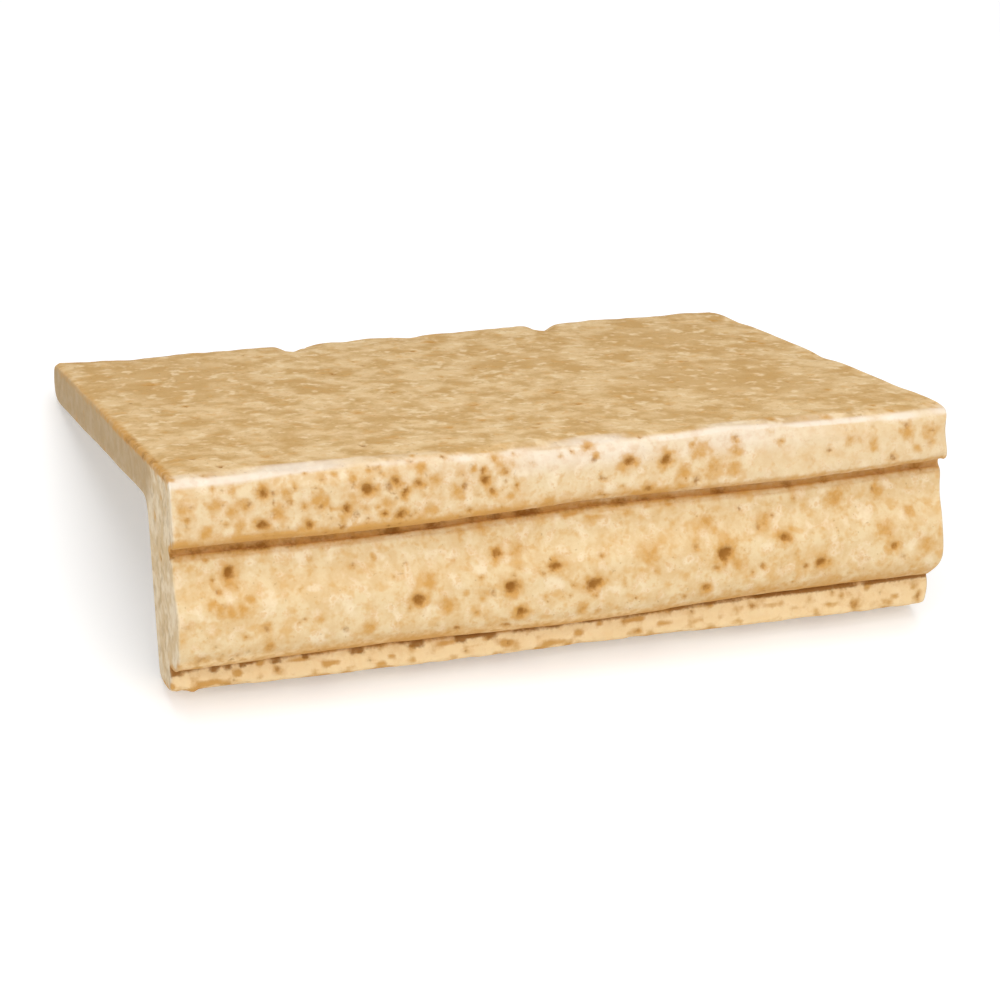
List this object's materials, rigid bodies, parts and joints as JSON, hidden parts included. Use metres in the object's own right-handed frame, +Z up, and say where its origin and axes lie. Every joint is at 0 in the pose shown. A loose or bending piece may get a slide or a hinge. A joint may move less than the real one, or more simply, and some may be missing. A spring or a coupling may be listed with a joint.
{
  "type": "window sill stone",
  "caption": "L-shaped cast stone window sill: a thin plate with a moulded apron along its front edge, laid over the top of a wall to shed rain.",
  "frame": {"origin": "centre of the box's base, on the floor that the stone lies on", "axes": "+X along the sill's length, towards its right end seen from the front; +Z up as it lies unheld; the moulded front faces -Y, and the whole section leans back by 18.9 degrees about X from how it is laid on a wall"},
  "size_m": [0.28, 0.2222, 0.0829],
  "materials": {
    "cast_stone": "matt, pitted cream and ochre cast stone"
  },
  "bodies": {
    "root": {"sill_stone": "cast_stone"}
  },
  "joints": []
}
